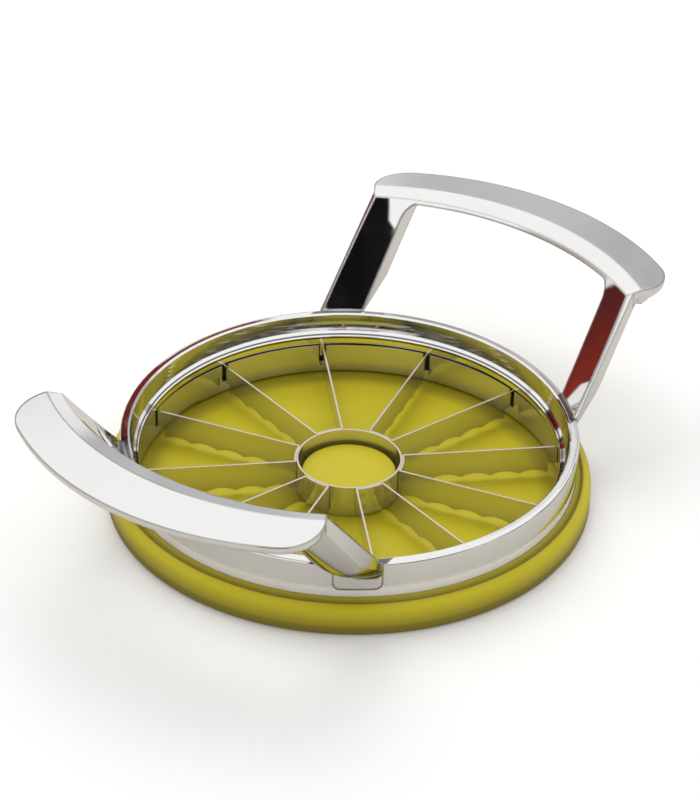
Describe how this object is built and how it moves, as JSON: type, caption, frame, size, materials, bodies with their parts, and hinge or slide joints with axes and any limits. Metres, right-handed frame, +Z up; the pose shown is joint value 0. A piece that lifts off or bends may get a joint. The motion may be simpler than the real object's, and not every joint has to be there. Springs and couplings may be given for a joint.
{
  "type": "apple slicer",
  "caption": "Press-down apple slicer and corer: chrome ring with radial blades and a core ring, two fixed arched handles, standing in a round lime base.",
  "frame": {"origin": "middle of the base's underside, on the table", "axes": "+Z up along the ring's axis, the two handles along +X and -X"},
  "size_m": [0.1762, 0.1188, 0.0442],
  "materials": {
    "base_plastic": "satin lime moulded plastic",
    "polished_chrome": "polished, satin on the grip's top facets",
    "blade_steel": "fine rolled strip"
  },
  "bodies": {
    "base": {"base_tray": "base_plastic"},
    "slicer": {"ring_frame": "polished_chrome", "handle_right": "polished_chrome", "handle_left": "polished_chrome", "blade_band": "blade_steel", "core_ring": "blade_steel", "retaining_ring": "blade_steel", "blade_pair_1": "blade_steel", "blade_pair_2": "blade_steel", "blade_pair_3": "blade_steel", "blade_pair_4": "blade_steel", "blade_pair_5": "blade_steel", "blade_pair_6": "blade_steel"}
  },
  "joints": [
    {"name": "slicer_lift", "type": "slide", "parent": "base", "child": "slicer", "axis": [0, 0, 1], "range_m": [0, 0.06]}
  ]
}
